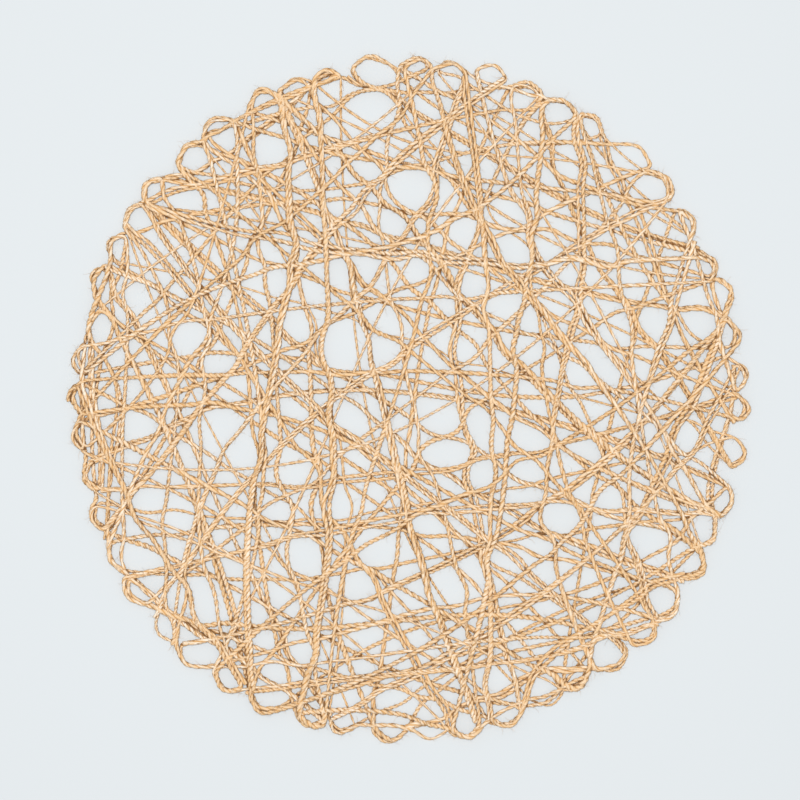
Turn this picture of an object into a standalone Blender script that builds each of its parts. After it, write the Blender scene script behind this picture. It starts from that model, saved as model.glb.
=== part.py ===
# Round jute placemat, wound from two-ply cord between the loops of its rim and glued into one open web.
# The cord's route is wound by a rule, then its outline is trimmed into one flat solid with its gaps cut through.
# Lengths are in metres, directions in degrees anticlockwise from +X, and +Z is up.

import math

import bpy
import numpy as np
from mathutils import Vector
from mathutils.geometry import delaunay_2d_cdt

mm = 0.001

# Cord and web
cordRadius = 1.2 * mm
shoulderHeight = 1.7 * mm
singleHeight = 2.6 * mm
layerStep = 0.9 * mm
matThickness = 5.2 * mm
gapCount = 280
leastGapWidth = 4.0 * mm
crestRunCount = 36

# Winding
windingSeed = 33
runCount = 133
trialCount = 400
runSamples = 70
edgeRunShare = 0.2
thinShare = 0.14
thickShare = 0.2
doubleShare = 0.4
doubleLeastLength = 60 * mm
bowShare = 0.05
swayShare = 0.02
rimRadius = 180.4 * mm
endReach = 7.5 * mm
endRise = 8 * mm
crowdingCell = 7.0 * mm
crowdingCost = 5.0
blockedCost = 22.0
openingCore = 0.7
blockedLeastLength = 60 * mm
visitCost = 0.5
outsideCost = 3000  # for each metre beyond the rim's radius
bendReach = 1.9
bendPower = 1.2
softness = 3.6 * mm
cordStep = 0.5 * mm
turnRadius = 2.1 * mm
loopShare = 0.3  # half width of a rim loop, as a share of the way to the next
loopLeast = 1.3  # degrees, as are the next two
loopMost = 1.9
loopLean = 0.35
loopDepth = 3.0 * mm
tipShare = 0.55
tipDrop = 1.2 * mm
legLeast = 1.2  # how far out a loop's legs stand, in half widths
legMost = 1.8
legHigh = 4.5 * mm
legLow = 8.0 * mm
besideLeast = 1.0 * mm
besideMost = 1.8 * mm
besideSwing = 2.4 * mm

# Trimming of the web's outline
gridReach = 196 * mm
gridPitch = 0.6 * mm
fieldMargin = 1.8 * mm
leastRadius = 0.9 * mm
gapTolerance = 0.42 * mm
crestTolerance = 0.35 * mm
crestClearance = 0.35 * mm
mergeDistance = 0.02 * mm

juteColour = (0.72, 0.46, 0.22, 1.0)

# Loops of the rim as (direction, reach in mm), read from the photo
rimLoops = [
    (4, 188.5), (11.5, 187), (18.5, 190), (24, 186), (32.5, 187), (40.5, 189), (47, 191), (56.5, 188),
    (62.5, 188), (69, 188), (75.5, 191), (82.5, 189.5), (88.5, 190), (96.5, 191), (104, 187.5),
    (110, 189.5), (116, 190), (125, 189), (131.5, 187), (140.5, 188), (146, 188), (152, 187),
    (159, 188), (167, 183), (173, 187), (180, 188), (186, 187), (193.5, 185), (201, 187.5),
    (208.5, 189), (215.5, 190), (224, 192), (230, 192), (237.5, 191), (244.5, 191.5), (253, 190.5),
    (258.5, 189), (267, 190), (274, 190.5), (280, 191), (287.5, 190), (294.5, 187), (300.5, 186),
    (308, 189), (315.5, 189.5), (321.5, 189), (330, 189), (336, 187), (342, 190), (351, 188.5),
    (358.5, 189),
]

# Widest openings as (x, y, half width, half height) in mm, read from the photo, top left to bottom right
openings = [
    (-20, 161, 12, 8), (-19, 179, 8, 6), (-44, 169, 7, 6), (-103, 143, 6, 6.5), (-74, 136, 8, 5.5),
    (-124, 112, 11, 4), (-149, 98, 6, 6), (-35, 105, 7.5, 5), (4, 114, 12.5, 8.5), (-23, 126, 8, 4.5),
    (-73, 85, 11, 6), (-9, 97, 7, 6), (-36, 69, 5, 7), (-24, 69, 5, 7.5), (6, 70, 6.5, 8.5),
    (-152, 58, 10, 4.5), (-170, 40, 6, 6.5), (-121, 35, 9, 6), (-60, 38, 7, 6.5), (-12, 41, 9, 6),
    (-36, 28, 11, 9.5), (-14, 26, 7, 7), (-106, 20, 8.5, 4.5), (-72, 65, 6, 6), (-119, 131, 6, 6),
    (21, 176, 6.5, 5.5), (65, 165, 6.5, 5.5), (81, 157, 8, 5), (89, 129, 7.5, 6), (121, 132, 8.5, 5.5),
    (132, 117, 9.5, 6), (30, 93, 6.5, 6), (57, 101, 10, 5.5), (60, 79, 7, 6), (77, 85, 6, 8),
    (87, 73, 7, 5.5), (110, 80, 5, 8), (50, 50, 9, 4), (33, 62, 7, 6.5), (67, 43, 6.5, 5.5),
    (65, 29, 10, 5), (86, 50, 7, 5), (116, 38, 6.5, 8), (31, 27, 7.5, 6.5), (161, 42, 6.5, 7.5),
    (135, 42, 7, 6), (93, 13, 5, 7), (-60, -40, 11, 7), (-91, -31, 8, 6), (-35, -9, 7.5, 5.5),
    (-108, -12, 6, 7.5), (-146, -15, 6.5, 6), (-40, -60, 9.5, 6), (-145, -60, 5.5, 8),
    (-128, -68, 6, 6), (-70, -62, 9, 4.5), (-60, -87, 8.5, 8), (-150, -87, 8.5, 4.5),
    (-127, -110, 6, 8), (-113, -113, 5.5, 11), (-17, -86, 7, 5), (-24, -103, 6, 6.5),
    (-59, -140, 8, 4.5), (-75, -150, 7, 5), (-9, -164, 8, 4.5), (20, -14, 9, 6), (37, -12, 6.5, 7),
    (21, -29, 13, 6.5), (40, -41, 7.5, 7), (63, -38, 6, 7), (67, -23, 8, 6.5), (10, -69, 6.5, 6),
    (82, -66, 9.5, 7), (75, -80, 6, 6.5), (54, -88, 9, 5), (24, -106, 8.5, 6), (111, -54, 6.5, 6.5),
    (153, -21, 6, 8.5), (134, -76, 11, 5), (163, -70, 6, 6.5), (139, -109, 6.5, 6), (110, -138, 6, 7),
    (49, -157, 7, 7), (76, -157, 6, 6.5), (14, -172, 7, 5.5),
]


def clearScene():
    for item in list(bpy.data.objects):
        bpy.data.objects.remove(item, do_unlink=True)


def rimPoint(direction, radius):
    angle = np.radians(direction)
    return np.stack([np.cos(angle) * radius, np.sin(angle) * radius], axis=-1)


# A run from shoulder to shoulder: a straight line with one bow and a slight sway, both in proportion to it
def bowedLines(start, end, bow, sway):
    along = np.linspace(0, 1, runSamples)
    span = end - start
    length = np.hypot(span[:, 0], span[:, 1])
    side = np.stack([-span[:, 1], span[:, 0]], axis=-1) / length[:, None]
    offset = bow[:, None] * 4 * along * (1 - along) + sway[:, None] * np.sin(2 * math.pi * along)
    offset = offset * length[:, None]
    return start[:, None] + along[None, :, None] * span[:, None] + offset[..., None] * side[:, None], length


# Share of a line's samples that lie over the cores of the openings, deepest at their centres
def blockedShare(lines, holes):
    acrossX = (lines[..., 0, None] - holes[:, 0]) / (holes[:, 2] * openingCore)
    acrossY = (lines[..., 1, None] - holes[:, 1]) / (holes[:, 3] * openingCore)
    return np.clip(1 - acrossX ** 2 - acrossY ** 2, 0, None).max(axis=-1).mean(axis=-1)


# Cords part round an opening: the distance from its centre, 1 at its edge, grows from 0..reach to 1..reach
def bendRound(points, holes):
    offX = points[..., 0, None] - holes[:, 0]
    offY = points[..., 1, None] - holes[:, 1]
    distance = np.maximum(np.hypot(offX / holes[:, 2], offY / holes[:, 3]), 1e-6)
    pushed = 1 + (bendReach - 1) * np.clip(distance / bendReach, 0, 1) ** bendPower
    push = np.where(distance < bendReach, np.minimum(pushed / distance - 1, 3), 0)
    return points + np.stack([(offX * push).sum(-1), (offY * push).sum(-1)], axis=-1)


# Stiff cord can't bend sharply: each point is a bell-weighted mean, and the ends stay where they are
def softened(points):
    spacing = np.hypot(*np.diff(points, axis=0).T).mean()
    spread = softness / spacing
    reach = min(int(3 * spread) + 1, len(points) - 1)
    bell = np.exp(-np.arange(-reach, reach + 1) ** 2 / (2 * spread ** 2))
    bell /= bell.sum()
    padded = [np.pad(column, reach, mode="reflect", reflect_type="odd") for column in points.T]
    return np.stack([np.convolve(column, bell, "valid") for column in padded], axis=-1)


# Away from its two ends a run stays inside the rim
def keepInside(points):
    length = np.hypot(*np.diff(points, axis=0).T).sum()
    along = np.linspace(0, 1, len(points))
    fromEnd = np.minimum(along, 1 - along) * length
    limit = rimRadius + np.clip(1 - fromEnd / endReach, 0, 1) * endRise
    radius = np.hypot(points[:, 0], points[:, 1])
    return points * np.minimum(limit / radius, 1)[:, None]


# Even points along a line, with its corners rounded by a bell-shaped average
def roundedCord(points, radii):
    travel = np.append(0, np.cumsum(np.hypot(*np.diff(points, axis=0).T)))
    even = np.arange(0, travel[-1], cordStep)
    spread = turnRadius / cordStep
    reach = int(4 * spread)
    bell = np.exp(-np.arange(-reach, reach + 1) ** 2 / (2 * spread ** 2))
    bell /= bell.sum()
    columns = [points[:, 0], points[:, 1], radii]
    padded = [np.pad(np.interp(even, travel, column), reach, mode="edge") for column in columns]
    return np.stack([np.convolve(column, bell, "valid") for column in padded], axis=-1)


def crowdingCells(points):
    cells = ((points + 200 * mm) / crowdingCell).astype(int)
    return np.clip(cells, 0, int(400 * mm / crowdingCell) - 1)


# Each run starts where the last one left a rim loop, and takes the best of many trials: over bare ground,
# clear of the openings, to a loop with few turns. Some runs have a second cord laid beside them.
def windCords():
    rng = np.random.default_rng(windingSeed)
    holes = np.array(openings) * mm
    direction, reach = np.array(rimLoops).T
    reach = reach * mm
    loopCount = len(direction)
    spacing = np.diff(np.append(direction, direction[0] + 360))
    halfWidth = loopShare * np.minimum(spacing, np.roll(spacing, 1))
    halfWidth = np.clip(halfWidth, loopLeast, loopMost)
    visits = np.zeros(loopCount)
    cellCount = int(400 * mm / crowdingCell)
    crowding = np.zeros((cellCount, cellCount))
    along = np.linspace(0, 1, runSamples)
    loop = 0
    side = 1
    winding = []
    runs = []
    for _ in range(runCount):
        thin = rng.random() < thinShare
        thick = rng.random() < thickShare
        edgeRun = rng.random(trialCount) < edgeRunShare
        shortJump = rng.integers(2, 6, trialCount) * rng.choice([-1, 1], trialCount)
        longJump = rng.integers(6, loopCount - 5, trialCount)
        target = (loop + np.where(edgeRun, shortJump, longJump)) % loopCount
        targetSide = rng.choice([-1, 1], trialCount)
        startTurn = side * halfWidth[loop] * rng.uniform(legLeast, legMost, trialCount)
        endTurn = targetSide * halfWidth[target] * rng.uniform(legLeast, legMost, trialCount)
        startDepth = rng.uniform(legHigh, legLow, trialCount)
        endDepth = rng.uniform(legHigh, legLow, trialCount)
        start = rimPoint(direction[loop] + startTurn, reach[loop] - startDepth)
        end = rimPoint(direction[target] + endTurn, reach[target] - endDepth)
        bow = rng.normal(0, bowShare, trialCount)
        sway = rng.normal(0, swayShare, trialCount)
        lines, lengths = bowedLines(start, end, bow, sway)
        cells = crowdingCells(lines)
        blocked = blockedShare(lines, holes) * lengths / np.maximum(lengths, blockedLeastLength)
        cost = crowding[cells[..., 1], cells[..., 0]].mean(axis=1) * crowdingCost
        cost += blocked * blockedCost * (0.3 if thin else 1)
        cost += np.maximum(0, visits[target] - visits.min() - 1) * visitCost
        outside = np.clip(np.hypot(lines[..., 0], lines[..., 1]) - rimRadius, 0, None)
        cost += outside.mean(axis=1) * outsideCost
        best = int(cost.argmin())
        radius = cordRadius * rng.uniform(0.9, 1.06)
        if thick:
            radius = cordRadius * rng.uniform(1.1, 1.25)
        if thin:
            radius = cordRadius * rng.uniform(0.55, 0.8)
        straight = thin and rng.random() < 0.5
        line = keepInside(lines[best] if straight else softened(bendRound(lines[best], holes)))
        laid = [(line, radius)]
        if not thin and lengths[best] > doubleLeastLength and rng.random() < doubleShare:
            beside = rng.uniform(besideLeast, besideMost) * rng.choice([-1, 1])
            swing = rng.uniform(-besideSwing, besideSwing)
            phase = rng.uniform(0, 2 * math.pi)
            waves = rng.uniform(0.6, 1.6)
            across = np.gradient(lines[best], axis=0)
            across = np.stack([-across[:, 1], across[:, 0]], axis=-1) / np.hypot(*across.T)[:, None]
            offset = beside + swing * np.sin(phase + waves * 2 * math.pi * along)
            second = keepInside(softened(bendRound(lines[best] + offset[:, None] * across, holes)))
            laid.append((second, radius * rng.uniform(0.85, 1.0)))
        for points, width in laid:
            travel = np.hypot(*np.diff(points, axis=0).T).sum()
            cells = crowdingCells(points)
            share = travel / runSamples * 2 * width / crowdingCell ** 2
            np.add.at(crowding, (cells[:, 1], cells[:, 0]), share)
        loop = int(target[best])
        turn = int(targetSide[best])
        top = reach[loop] - rng.uniform(0, loopDepth)
        middle = direction[loop] + rng.normal(0, loopLean)
        turnPoints = rimPoint(middle + halfWidth[loop] * turn * tipShare * np.array([1, 0, -1]),
                              top - np.array([1, 0, 1]) * tipDrop)
        winding.append((line, radius))
        winding.append((turnPoints, radius))
        runs.append(laid)
        visits[loop] += 1
        side = -turn
    wholeLine = np.vstack([points for points, _ in winding])
    wholeRadii = np.concatenate([np.full(len(points), width) for points, width in winding])
    cords = [roundedCord(wholeLine, wholeRadii)]
    for laid in runs:
        for points, width in laid[1:]:
            cords.append(roundedCord(points, np.full(len(points), width)))
    return cords, runs


# Distance from each grid point to the edge of the nearest cord, below zero where a cord covers it
def cordField(cords):
    count = int(round(2 * gridReach / gridPitch)) + 1
    field = np.full((count, count), fieldMargin)
    samples = np.vstack(cords)
    radius = np.maximum(samples[:, 2], leastRadius)
    home = np.round((samples[:, :2] + gridReach) / gridPitch).astype(int)
    reach = int((fieldMargin + cordRadius) / gridPitch) + 1
    for stepY in range(-reach, reach + 1):
        for stepX in range(-reach, reach + 1):
            column = home[:, 0] + stepX
            row = home[:, 1] + stepY
            distance = np.hypot(column * gridPitch - gridReach - samples[:, 0],
                                row * gridPitch - gridReach - samples[:, 1]) - radius
            np.minimum.at(field, (row, column), distance)
    return field


# How many cords lie on each other at each grid point, from the number of cord samples close by
def layerField(cords):
    count = int(round(2 * gridReach / gridPitch)) + 1
    near = np.zeros((count, count))
    samples = np.vstack(cords)
    home = np.round((samples[:, :2] + gridReach) / gridPitch).astype(int)
    np.add.at(near, (home[:, 1], home[:, 0]), 1)
    steps = (-2, -1, 0, 1, 2)
    summed = sum(np.roll(near, (stepY, stepX), axis=(0, 1)) for stepY in steps for stepX in steps)
    samplesOfOneCord = len(steps) * gridPitch / cordStep
    return summed / samplesOfOneCord


# Closed lines along which the field is zero, with the web on their left. Each grid cell links the points on
# its sides: corner bits 1, 2, 4, 8 run anticlockwise from the lower left, and a diagonal pair counts as joined
def zeroLines(field):
    height, width = field.shape
    inside = field < 0
    code = (inside[:-1, :-1] * 1 + inside[:-1, 1:] * 2 + inside[1:, 1:] * 4 + inside[1:, :-1] * 8)
    links = {
        1: ["bl"], 2: ["rb"], 4: ["tr"], 8: ["lt"], 3: ["rl"], 6: ["tb"], 12: ["lr"], 9: ["bt"],
        7: ["tl"], 14: ["lb"], 13: ["br"], 11: ["rt"], 5: ["br", "tl"], 10: ["lb", "rt"],
    }
    following = {}
    for value, pairs in links.items():
        rows, columns = np.nonzero(code == value)
        cell = rows * width + columns
        sides = {"b": cell, "t": cell + width, "l": cell + height * width, "r": cell + height * width + 1}
        for first, last in pairs:
            following.update(zip(sides[first].tolist(), sides[last].tolist()))
    lines = []
    while following:
        start, here = following.popitem()
        chain = [start]
        while here != start:
            chain.append(here)
            here = following.pop(here)
        chain = np.array(chain)
        upright = chain >= height * width
        corner = chain % (height * width)
        row, column = np.divmod(corner, width)
        nextRow = row + upright
        nextColumn = column + ~upright
        share = field[row, column] / (field[row, column] - field[nextRow, nextColumn])
        x = (column + share * ~upright) * gridPitch - gridReach
        y = (row + share * upright) * gridPitch - gridReach
        lines.append(np.stack([x, y], axis=-1))
    return lines


# Keeps only the points that stand off the straight line between their kept neighbours
def trimmedLine(points, tolerance):
    kept = {0, len(points) - 1}
    pending = [(0, len(points) - 1)]
    while pending:
        first, last = pending.pop()
        if last - first < 2:
            continue
        chord = points[last] - points[first]
        offset = points[first + 1:last] - points[first]
        length = math.hypot(chord[0], chord[1])
        if length > 0:
            away = np.abs(chord[0] * offset[:, 1] - chord[1] * offset[:, 0]) / length
        else:
            away = np.hypot(offset[:, 0], offset[:, 1])
        farthest = int(away.argmax())
        if away[farthest] > tolerance:
            middle = first + 1 + farthest
            kept.add(middle)
            pending += [(first, middle), (middle, last)]
    return points[sorted(kept)]


def trimmedLoop(points):
    apart = np.hypot(*(points - points.mean(axis=0)).T)
    points = np.roll(points, -int(apart.argmax()), axis=0)
    closed = np.vstack([points, points[:1]])
    return trimmedLine(closed, gapTolerance)[:-1]


def loopArea(points):
    following = np.roll(points, -1, axis=0)
    return 0.5 * float((points[:, 0] * following[:, 1] - points[:, 1] * following[:, 0]).sum())


# The web's outer line, then its widest gaps
def webLoops(field):
    lines = zeroLines(field)
    areas = np.array([loopArea(line) for line in lines])
    outer = int(areas.argmax())
    leastArea = math.pi * (leastGapWidth / 2) ** 2
    order = [i for i in np.argsort(areas) if areas[i] < -leastArea]
    return [trimmedLoop(lines[i]) for i in [outer] + order[:gapCount]]


# Least distance from each short straight piece, start to end, to the sides of the loops
def clearOfLoops(starts, ends, loops):
    sideStart = np.vstack(loops)
    sideEnd = np.vstack([np.roll(loop, -1, axis=0) for loop in loops])
    least = np.full(len(starts), np.inf)
    for share in np.linspace(0, 1, 12):
        place = starts + share * (ends - starts)
        side = sideEnd - sideStart
        offset = place[:, None] - sideStart[None]
        along = np.clip((offset * side).sum(-1) / (side ** 2).sum(-1), 0, 1)
        away = offset - along[..., None] * side
        least = np.minimum(least, np.hypot(away[..., 0], away[..., 1]).min(axis=1))
    return least


# Crest lines of the runs that were laid last and lie on top
def crestPieces(runs, loops):
    starts = []
    ends = []
    for laid in runs[-crestRunCount:]:
        points, width = laid[0]
        cord = roundedCord(points, np.full(len(points), width))[:, :2]
        line = trimmedLine(cord, crestTolerance)
        starts.append(line[:-1])
        ends.append(line[1:])
    starts = np.vstack(starts)
    ends = np.vstack(ends)
    clear = clearOfLoops(starts, ends, loops) > crestClearance
    return starts[clear], ends[clear]


def insideWeb(places, loops):
    crossings = np.zeros(len(places), dtype=int)
    for loop in loops:
        start = loop
        end = np.roll(loop, -1, axis=0)
        spans = (start[:, 1] > places[:, 1, None]) != (end[:, 1] > places[:, 1, None])
        rise = np.where(end[:, 1] == start[:, 1], 1, end[:, 1] - start[:, 1])
        meet = start[:, 0] + (places[:, 1, None] - start[:, 1]) * (end[:, 0] - start[:, 0]) / rise
        crossings += (spans & (places[:, 0, None] < meet)).sum(axis=1)
    return crossings % 2 == 1


# Triangles that fill the web between its loops and follow the crest lines
def webTriangles(loops, crestStarts, crestEnds):
    points = [Vector(p) for loop in loops for p in loop]
    edges = []
    first = 0
    for loop in loops:
        count = len(loop)
        edges += [(first + i, first + (i + 1) % count) for i in range(count)]
        first += count
    rimCount = len(points)
    for start, end in zip(crestStarts, crestEnds):
        edges.append((len(points), len(points) + 1))
        points += [Vector(start), Vector(end)]
    places, _, faces, origins, _, _ = delaunay_2d_cdt(points, edges, [], 0, mergeDistance)
    places = np.array([tuple(p) for p in places])
    rimIndex = np.full(len(places), -1)
    for index, origin in enumerate(origins):
        if origin and min(origin) < rimCount:
            rimIndex[index] = min(origin)
    if (rimIndex >= 0).sum() != rimCount:
        raise ValueError("two outlines of the web touch")
    triangles = np.array([face for face in faces if len(face) == 3])
    centres = places[triangles].mean(axis=1)
    return places, rimIndex, triangles[insideWeb(centres, loops)]


# Height of the web's crests at a place, higher where more cords lie on each other
def crestHeight(places, layers):
    cell = np.round((places + gridReach) / gridPitch).astype(int)
    stack = layers[cell[:, 1], cell[:, 0]]
    return np.clip(singleHeight + (stack - 1) * layerStep, singleHeight, matThickness)


# Flat underside, upright walls round the rim and each gap, and a crested top
def webMesh(loops, crestStarts, crestEnds, layers):
    rim = np.vstack(loops)
    centre = (rim.min(axis=0) + rim.max(axis=0)) / 2
    topPlaces, rimIndex, topTriangles = webTriangles(loops, crestStarts, crestEnds)
    _, lowIndex, lowTriangles = webTriangles(loops, [], [])
    rimCount = len(rim)
    lowPoints = np.column_stack([rim - centre, np.zeros(rimCount)])
    edgePoints = np.column_stack([rim - centre, np.full(rimCount, shoulderHeight)])
    isCrest = rimIndex < 0
    crests = topPlaces[isCrest]
    crestPoints = np.column_stack([crests - centre, crestHeight(crests, layers)])
    number = np.where(isCrest, 0, rimCount + rimIndex)
    number[isCrest] = 2 * rimCount + np.arange(isCrest.sum())
    points = np.vstack([lowPoints, edgePoints, crestPoints])
    faces = [tuple(face) for face in number[topTriangles].tolist()]
    faces += [tuple(reversed(face)) for face in lowIndex[lowTriangles].tolist()]
    first = 0
    for loop in loops:
        count = len(loop)
        for i in range(count):
            here = first + i
            after = first + (i + 1) % count
            faces.append((here, after, rimCount + after))
            faces.append((here, rimCount + after, rimCount + here))
        first += count
    mesh = bpy.data.meshes.new("mat")
    mesh.from_pydata([tuple(p) for p in points.tolist()], [], faces)
    mesh.validate()
    return mesh


def juteMaterial():
    material = bpy.data.materials.new("jute")
    material.use_nodes = True
    shader = material.node_tree.nodes["Principled BSDF"]
    shader.inputs["Base Color"].default_value = juteColour
    shader.inputs["Roughness"].default_value = 0.85
    shader.inputs["Metallic"].default_value = 0.0
    return material


def buildMat():
    cords, runs = windCords()
    loops = webLoops(cordField(cords))
    crestStarts, crestEnds = crestPieces(runs, loops)
    mesh = webMesh(loops, crestStarts, crestEnds, layerField(cords))
    mesh.materials.append(juteMaterial())
    mat = bpy.data.objects.new("mat", mesh)
    bpy.context.scene.collection.objects.link(mat)
    print("gaps", len(loops) - 1, "outline points", sum(len(loop) for loop in loops),
          "triangles", len(mesh.polygons))
    return mat


clearScene()
buildMat()
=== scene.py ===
# Jute placemat on a plain pale floor, seen from straight above.
# The web's cords are wound by the same rule as the solid, laid on each other one by one, and built as
# two-ply cord with a twist. Lengths are in metres.
import math

import bpy
import numpy as np
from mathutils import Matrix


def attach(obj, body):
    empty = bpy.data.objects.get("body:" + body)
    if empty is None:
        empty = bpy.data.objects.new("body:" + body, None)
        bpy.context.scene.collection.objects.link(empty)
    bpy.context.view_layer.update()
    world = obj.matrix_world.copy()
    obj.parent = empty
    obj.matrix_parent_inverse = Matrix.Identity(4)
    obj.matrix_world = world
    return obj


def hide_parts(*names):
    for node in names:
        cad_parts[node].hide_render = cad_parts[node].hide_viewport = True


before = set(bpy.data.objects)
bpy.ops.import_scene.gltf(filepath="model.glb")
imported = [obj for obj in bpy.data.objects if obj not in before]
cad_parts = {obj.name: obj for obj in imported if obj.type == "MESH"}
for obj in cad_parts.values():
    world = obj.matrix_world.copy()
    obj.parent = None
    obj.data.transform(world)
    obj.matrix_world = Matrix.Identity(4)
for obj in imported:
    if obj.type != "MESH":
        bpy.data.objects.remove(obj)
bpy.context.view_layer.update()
mm = 0.001
scene = bpy.context.scene

# Camera: straight above, at the photo's framing
camera = {
    "height": 2.0,
    "sensor": 36.0,  # millimetres, as Blender's lens values
    "metresPerPixel": 0.5515 * mm,
    "framePixels": 800,
    "matCentrePixel": (408.5, 399.0),
}


# The lens is the sensor's width times the height over the width seen. The camera stands aside by the
# pixels between the picture's centre and the mat's, times the metres in a pixel
def makeCamera(values):
    data = bpy.data.cameras.new("camera")
    data.sensor_width = values["sensor"]
    data.lens = values["sensor"] * values["height"] / (values["metresPerPixel"] * values["framePixels"])
    item = bpy.data.objects.new("camera", data)
    offX = (values["framePixels"] / 2 - values["matCentrePixel"][0]) * values["metresPerPixel"]
    offY = (values["matCentrePixel"][1] - values["framePixels"] / 2) * values["metresPerPixel"]
    item.location = (offX, offY, values["height"])
    scene.collection.objects.link(item)
    scene.camera = item


makeCamera(camera)

# Winding: the values and the order of random draws are those of the solid
winding = {
    "cordRadius": 1.2 * mm,
    "seed": 33,
    "runs": 133,
    "trials": 400,
    "samples": 70,
    "edgeRunShare": 0.2,
    "thinShare": 0.14,
    "thickShare": 0.2,
    "doubleShare": 0.4,
    "doubleLeastLength": 60 * mm,
    "plainWidths": (0.9, 1.06),  # least and most radius of a run, as shares of the cord's
    "thickWidths": (1.1, 1.25),
    "thinWidths": (0.55, 0.8),
    "secondWidths": (0.85, 1.0),  # of a cord laid beside a run, as shares of the run's
    "straightShare": 0.5,  # of the thin runs
    "shortJump": (2, 6),  # a run near the rim goes on by 2 to 5 loops
    "longJump": 6,  # a run across the mat by this many at least, either way round
    "bowShare": 0.05,
    "swayShare": 0.02,
    "rimRadius": 180.4 * mm,
    "endReach": 7.5 * mm,
    "endRise": 8 * mm,
    "crowdingReach": 200 * mm,
    "crowdingCell": 7.0 * mm,
    "crowdingCost": 5.0,
    "blockedCost": 22.0,
    "blockedThin": 0.3,  # share of that cost for a thin run
    "openingCore": 0.7,
    "blockedLeastLength": 60 * mm,
    "visitCost": 0.5,
    "outsideCost": 3000,  # for each metre beyond the rim's radius
    "bendReach": 1.9,
    "bendPower": 1.2,
    "bendMost": 3,
    "softness": 3.6 * mm,
    "step": 0.5 * mm,
    "turnRadius": 2.1 * mm,
    "loopShare": 0.3,  # half width of a rim loop, as a share of the way to the next
    "loopLeast": 1.3,
    "loopMost": 1.9,
    "loopLean": 0.35,  # degrees
    "loopDepth": 3.0 * mm,
    "tipShare": 0.55,
    "tipDrop": 1.2 * mm,
    "legLeast": 1.2,  # how far out a loop's legs stand, in half widths
    "legMost": 1.8,
    "legHigh": 4.5 * mm,
    "legLow": 8 * mm,
    "besideLeast": 1.0 * mm,
    "besideMost": 1.8 * mm,
    "besideSwing": 2.4 * mm,
    "besideWaves": (0.6, 1.6),
}

# Loops of the rim as (direction in degrees, reach in mm)
rimLoops = [
    (4, 188.5), (11.5, 187), (18.5, 190), (24, 186), (32.5, 187), (40.5, 189), (47, 191), (56.5, 188),
    (62.5, 188), (69, 188), (75.5, 191), (82.5, 189.5), (88.5, 190), (96.5, 191), (104, 187.5),
    (110, 189.5), (116, 190), (125, 189), (131.5, 187), (140.5, 188), (146, 188), (152, 187),
    (159, 188), (167, 183), (173, 187), (180, 188), (186, 187), (193.5, 185), (201, 187.5),
    (208.5, 189), (215.5, 190), (224, 192), (230, 192), (237.5, 191), (244.5, 191.5), (253, 190.5),
    (258.5, 189), (267, 190), (274, 190.5), (280, 191), (287.5, 190), (294.5, 187), (300.5, 186),
    (308, 189), (315.5, 189.5), (321.5, 189), (330, 189), (336, 187), (342, 190), (351, 188.5),
    (358.5, 189),
]

# Widest openings as (x, y, half width, half height) in mm, top left to bottom right
openings = [
    (-20, 161, 12, 8), (-19, 179, 8, 6), (-44, 169, 7, 6), (-103, 143, 6, 6.5), (-74, 136, 8, 5.5),
    (-124, 112, 11, 4), (-149, 98, 6, 6), (-35, 105, 7.5, 5), (4, 114, 12.5, 8.5), (-23, 126, 8, 4.5),
    (-73, 85, 11, 6), (-9, 97, 7, 6), (-36, 69, 5, 7), (-24, 69, 5, 7.5), (6, 70, 6.5, 8.5),
    (-152, 58, 10, 4.5), (-170, 40, 6, 6.5), (-121, 35, 9, 6), (-60, 38, 7, 6.5), (-12, 41, 9, 6),
    (-36, 28, 11, 9.5), (-14, 26, 7, 7), (-106, 20, 8.5, 4.5), (-72, 65, 6, 6), (-119, 131, 6, 6),
    (21, 176, 6.5, 5.5), (65, 165, 6.5, 5.5), (81, 157, 8, 5), (89, 129, 7.5, 6), (121, 132, 8.5, 5.5),
    (132, 117, 9.5, 6), (30, 93, 6.5, 6), (57, 101, 10, 5.5), (60, 79, 7, 6), (77, 85, 6, 8),
    (87, 73, 7, 5.5), (110, 80, 5, 8), (50, 50, 9, 4), (33, 62, 7, 6.5), (67, 43, 6.5, 5.5),
    (65, 29, 10, 5), (86, 50, 7, 5), (116, 38, 6.5, 8), (31, 27, 7.5, 6.5), (161, 42, 6.5, 7.5),
    (135, 42, 7, 6), (93, 13, 5, 7), (-60, -40, 11, 7), (-91, -31, 8, 6), (-35, -9, 7.5, 5.5),
    (-108, -12, 6, 7.5), (-146, -15, 6.5, 6), (-40, -60, 9.5, 6), (-145, -60, 5.5, 8),
    (-128, -68, 6, 6), (-70, -62, 9, 4.5), (-60, -87, 8.5, 8), (-150, -87, 8.5, 4.5),
    (-127, -110, 6, 8), (-113, -113, 5.5, 11), (-17, -86, 7, 5), (-24, -103, 6, 6.5),
    (-59, -140, 8, 4.5), (-75, -150, 7, 5), (-9, -164, 8, 4.5), (20, -14, 9, 6), (37, -12, 6.5, 7),
    (21, -29, 13, 6.5), (40, -41, 7.5, 7), (63, -38, 6, 7), (67, -23, 8, 6.5), (10, -69, 6.5, 6),
    (82, -66, 9.5, 7), (75, -80, 6, 6.5), (54, -88, 9, 5), (24, -106, 8.5, 6), (111, -54, 6.5, 6.5),
    (153, -21, 6, 8.5), (134, -76, 11, 5), (163, -70, 6, 6.5), (139, -109, 6.5, 6), (110, -138, 6, 7),
    (49, -157, 7, 7), (76, -157, 6, 6.5), (14, -172, 7, 5.5),
]


# A point at a direction in degrees and a radius: (cosine, sine) times the radius
def rimPoint(direction, radius):
    angle = np.radians(direction)
    return np.stack([np.cos(angle) * radius, np.sin(angle) * radius], axis=-1)


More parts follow.
